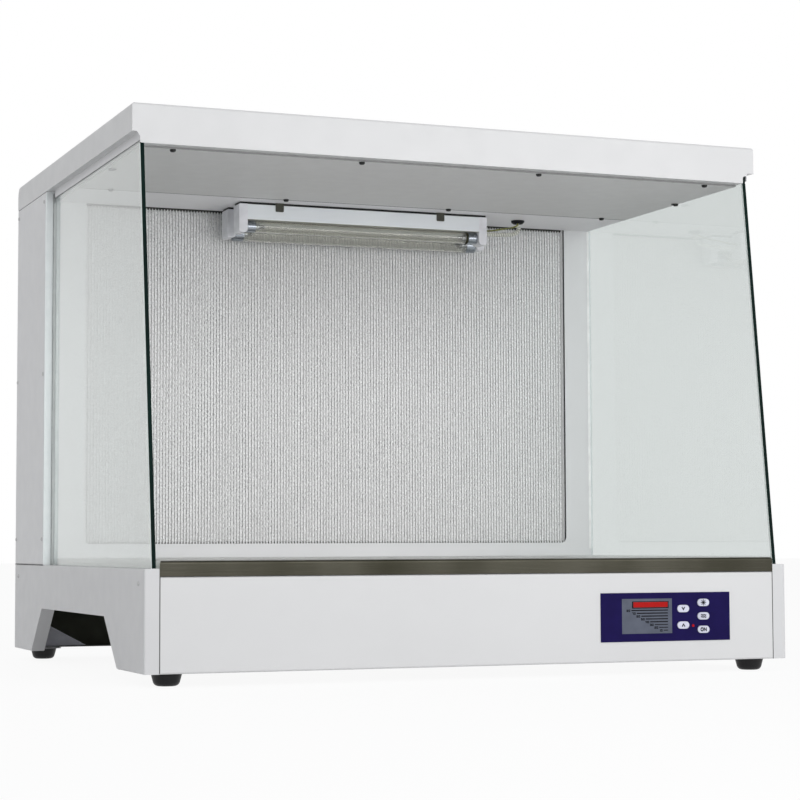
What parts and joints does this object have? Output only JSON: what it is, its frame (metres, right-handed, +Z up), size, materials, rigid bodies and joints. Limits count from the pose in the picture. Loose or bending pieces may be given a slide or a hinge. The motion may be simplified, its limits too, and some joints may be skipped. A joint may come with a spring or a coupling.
{
  "type": "laminar flow hood",
  "caption": "Bench cabinet with glass sides and an open front that blows filtered air from its rear wall across a steel worktop.",
  "frame": {"origin": "centre of the cabinet's plan on the bench surface under its feet", "axes": "+X to the user's right along the front, +Y from the open front to the back cover, +Z up"},
  "size_m": [1.04, 0.891, 0.8435],
  "materials": {
    "powder_coat": "fine-textured powder coat, pale grey white",
    "powder_coat_front": "fine-textured powder coat, warm white",
    "galvanised": "zinc-plated sheet",
    "rubber_foot": "matt black",
    "stainless": "fine brushed",
    "keypad": "navy membrane",
    "display": "grey-blue display window",
    "housing_plastic": "moulded",
    "circuit_board": "green laminate",
    "led": "clear red",
    "key_plastic": "pale",
    "side_glass": "clear, green edges",
    "screw_steel": "dark zinc",
    "gasket_foam": "closed-cell foam",
    "frame_aluminium": "mill finish",
    "filter_paper": "folded glass-fibre paper",
    "impeller_plastic": "moulded black",
    "motor_housing": "satin",
    "pad_fibre": "needled fibre",
    "inlet_plastic": "moulded black",
    "lamp_white": "gloss white enamel",
    "holder_plastic": "moulded white",
    "quartz": "clear",
    "cap_metal": "polished",
    "spring_steel": "blued spring steel",
    "lead_wrap": "translucent spiral wrap",
    "earth_sleeve": "green and yellow sleeve"
  },
  "bodies": {
    "cabinet": {"base_side_left": "powder_coat", "base_side_right": "powder_coat", "base_front_panel": "powder_coat_front", "base_back_panel": "powder_coat", "cross_rail_front": "galvanised", "cross_rail_middle": "galvanised", "cross_rail_rear": "galvanised", "foot_front_left": "rubber_foot", "foot_front_right": "rubber_foot", "foot_rear_left": "rubber_foot", "foot_rear_right": "rubber_foot", "worktop": "stainless", "worktop_upstand": "stainless", "worktop_stiffeners": "galvanised", "keypad_overlay": "keypad", "display_window": "display", "control_housing": "housing_plastic", "control_board": "circuit_board", "power_led": "led", "glass_left": "side_glass", "glass_right": "side_glass", "glass_rail_left": "powder_coat", "glass_rail_right": "powder_coat", "roof_cover": "powder_coat_front", "ceiling_panel": "powder_coat", "lamp_panel": "powder_coat", "ceiling_screws": "screw_steel", "plenum_side_left": "powder_coat", "plenum_side_right": "powder_coat", "plenum_floor": "powder_coat", "back_cover": "powder_coat", "filter_wall": "powder_coat_front", "filter_gasket": "gasket_foam", "filter_frame": "frame_aluminium", "filter_pack": "filter_paper", "filter_clamps": "galvanised", "filter_shelf": "galvanised", "intake_box": "galvanised", "inlet_ring": "galvanised", "fan_motor": "motor_housing", "fan_bracket": "galvanised", "prefilter_pad": "pad_fibre", "prefilter_grille": "powder_coat", "power_inlet": "inlet_plastic", "lamp_ballasts": "powder_coat", "lamp_battens": "lamp_white", "lamp_holders": "holder_plastic", "uv_tube": "quartz", "light_tube": "quartz", "tube_caps": "cap_metal", "lamp_clips": "spring_steel", "cable_grommet": "inlet_plastic", "lamp_lead": "lead_wrap", "earth_lead": "earth_sleeve"},
    "key_down": {"key_down": "key_plastic"},
    "key_up": {"key_up": "key_plastic"},
    "key_lamp": {"key_lamp": "key_plastic"},
    "key_uv": {"key_uv": "key_plastic"},
    "key_power": {"key_power": "key_plastic"},
    "impeller": {"impeller": "impeller_plastic"}
  },
  "joints": [
    {"name": "key_down_press", "type": "slide", "parent": "cabinet", "child": "key_down", "axis": [0, 1, 0], "range_m": [0, 0.0008], "stiffness_N_per_m": 400},
    {"name": "key_up_press", "type": "slide", "parent": "cabinet", "child": "key_up", "axis": [0, 1, 0], "range_m": [0, 0.0008], "stiffness_N_per_m": 400},
    {"name": "key_lamp_press", "type": "slide", "parent": "cabinet", "child": "key_lamp", "axis": [0, 1, 0], "range_m": [0, 0.0008], "stiffness_N_per_m": 400},
    {"name": "key_uv_press", "type": "slide", "parent": "cabinet", "child": "key_uv", "axis": [0, 1, 0], "range_m": [0, 0.0008], "stiffness_N_per_m": 400},
    {"name": "key_power_press", "type": "slide", "parent": "cabinet", "child": "key_power", "axis": [0, 1, 0], "range_m": [0, 0.0008], "stiffness_N_per_m": 400},
    {"name": "impeller_spin", "type": "hinge", "parent": "cabinet", "child": "impeller", "pos_m": [0, 0.33, 0.4485], "axis": [0, 1, 0], "continuous": true}
  ]
}
